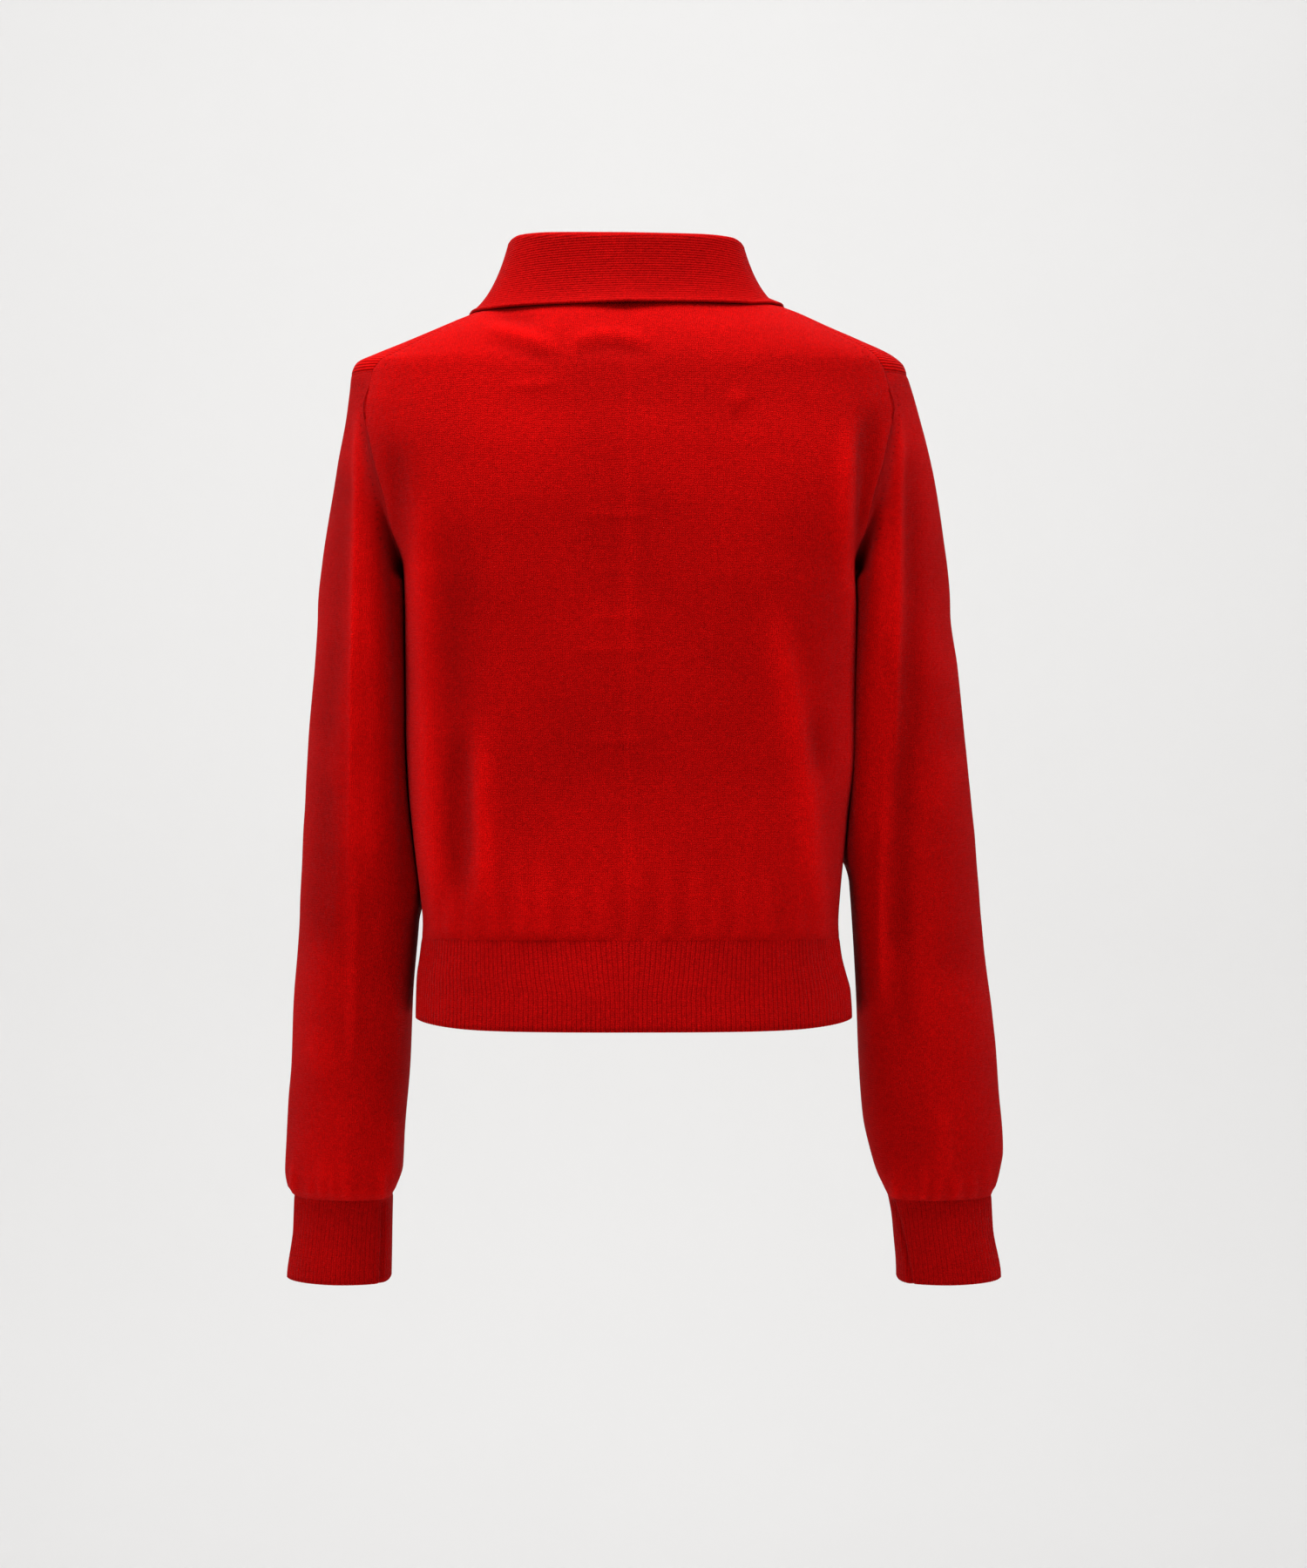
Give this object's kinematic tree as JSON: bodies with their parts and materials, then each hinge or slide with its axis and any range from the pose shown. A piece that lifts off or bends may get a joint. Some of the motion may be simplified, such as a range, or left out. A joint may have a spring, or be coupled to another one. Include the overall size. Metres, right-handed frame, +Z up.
{
  "type": "knit polo shirt",
  "caption": "Long-sleeved fine-knit polo shirt in its worn, hollow shape, with a turned-down collar, a buttoned placket and ribbed hem and cuffs.",
  "frame": {"origin": "middle of the neck, level with the high points of the shoulders, where the wearer's neck and shoulders hold the shirt up", "axes": "+Z up along the wearer's spine, -Y out of the shirt's front, +X to the wearer's left"},
  "size_m": [0.4897, 0.225, 0.7065],
  "materials": {
    "knit": "fine plain-knit wool and cashmere, matt with a soft short nap, bright red",
    "rib": "the same yarn in one-by-one rib, and the collar in a close double knit",
    "button": "dyed to match, satin"
  },
  "bodies": {
    "root": {"back": "knit", "front": "knit", "sleeve_left": "knit", "sleeve_right": "knit", "hem_rib_back": "rib", "hem_rib_front": "rib", "cuff_left": "rib", "cuff_right": "rib", "collar": "rib", "placket_under": "knit", "placket_over": "knit", "button_1": "button", "button_2": "button", "button_3": "button"}
  },
  "joints": []
}
